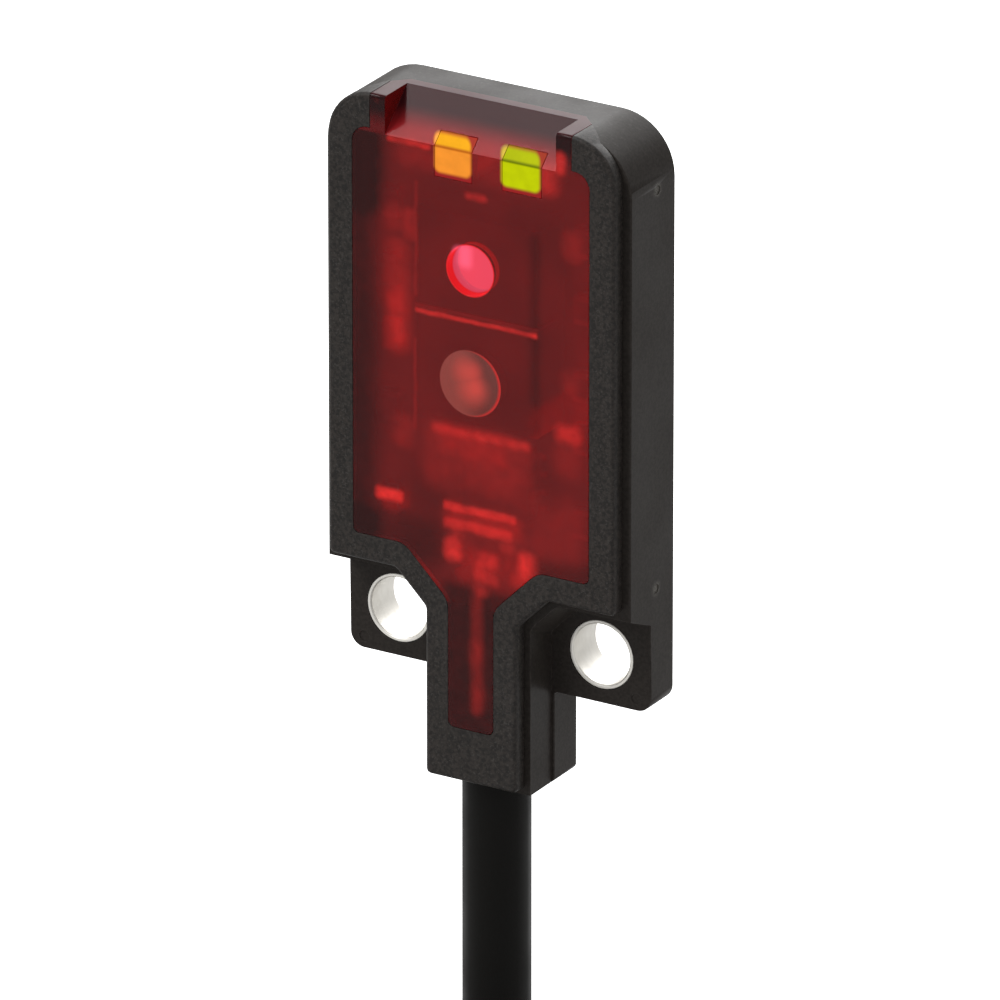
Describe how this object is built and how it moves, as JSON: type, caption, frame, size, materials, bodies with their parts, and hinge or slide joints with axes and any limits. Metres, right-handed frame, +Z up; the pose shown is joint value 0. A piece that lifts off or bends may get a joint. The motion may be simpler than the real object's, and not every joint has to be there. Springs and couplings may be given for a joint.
{
  "type": "photoelectric sensor",
  "caption": "Flat diffuse photoelectric sensor with a red window, two indicator lights, two screw ears and a pre-wired black cable, its spare length coiled and tied",
  "frame": {"origin": "on the sensor's flat back, midway between the centres of its two fixing holes", "axes": "+Z up along the sensor towards its indicators, +Y out of the flat back, +X to the right seen from the front"},
  "size_m": [0.0388, 0.0149, 0.0785],
  "materials": {
    "case_plastic": "satin moulded black-brown plastic",
    "cover_plastic": "fine speckled matte dark grey plastic",
    "red_lens": "translucent dark red acrylic, polished",
    "optic_lens": "clear red moulded lens",
    "orange_guide": "lit amber light guide",
    "green_guide": "lit yellow-green light guide",
    "sleeve_metal": "turned metal, satin",
    "black_plastic": "black moulded plastic",
    "tinned_metal": "tinned metal",
    "copper_strand": "bare copper strands, tinned ends",
    "led_package": "pale LED package",
    "chip_ceramic": "ceramic chip with tinned ends",
    "board_laminate": "green solder resist on glass laminate",
    "potting": "dark potting resin",
    "tie_plastic": "black nylon band",
    "brown_insulation": "vinyl insulation",
    "blue_insulation": "vinyl insulation",
    "black_insulation": "vinyl insulation",
    "cable_vinyl": "matte black vinyl jacket"
  },
  "bodies": {
    "root": {"cable_coil": "cable_vinyl", "cable_jacket": "cable_vinyl", "cable_seal": "potting", "chip_left_1": "chip_ceramic", "chip_left_2": "chip_ceramic", "chip_left_3": "chip_ceramic", "chip_left_4": "chip_ceramic", "chip_left_5": "chip_ceramic", "chip_right_1": "chip_ceramic", "chip_right_2": "chip_ceramic", "chip_right_3": "chip_ceramic", "chip_right_4": "chip_ceramic", "chip_right_5": "chip_ceramic", "circuit_board": "board_laminate", "coil_tie_lower": "tie_plastic", "coil_tie_upper": "tie_plastic", "conductor_black": "black_insulation", "conductor_blue": "blue_insulation", "conductor_brown": "brown_insulation", "control_ic": "black_plastic", "emitter_led": "led_package", "emitter_lens": "optic_lens", "front_cover": "cover_plastic", "green_led": "led_package", "green_light_guide": "green_guide", "lens_window": "red_lens", "light_barrier": "tinned_metal", "mounting_sleeve_left": "sleeve_metal", "mounting_sleeve_right": "sleeve_metal", "optic_holder": "black_plastic", "orange_led": "led_package", "orange_light_guide": "orange_guide", "rear_case": "case_plastic", "receiver_lens": "optic_lens", "receiver_photodiode": "black_plastic", "solder_black": "tinned_metal", "solder_blue": "tinned_metal", "solder_brown": "tinned_metal", "wire_end_black": "black_insulation", "wire_end_blue": "blue_insulation", "wire_end_brown": "brown_insulation", "wire_tip_black": "copper_strand", "wire_tip_blue": "copper_strand", "wire_tip_brown": "copper_strand"}
  },
  "joints": []
}
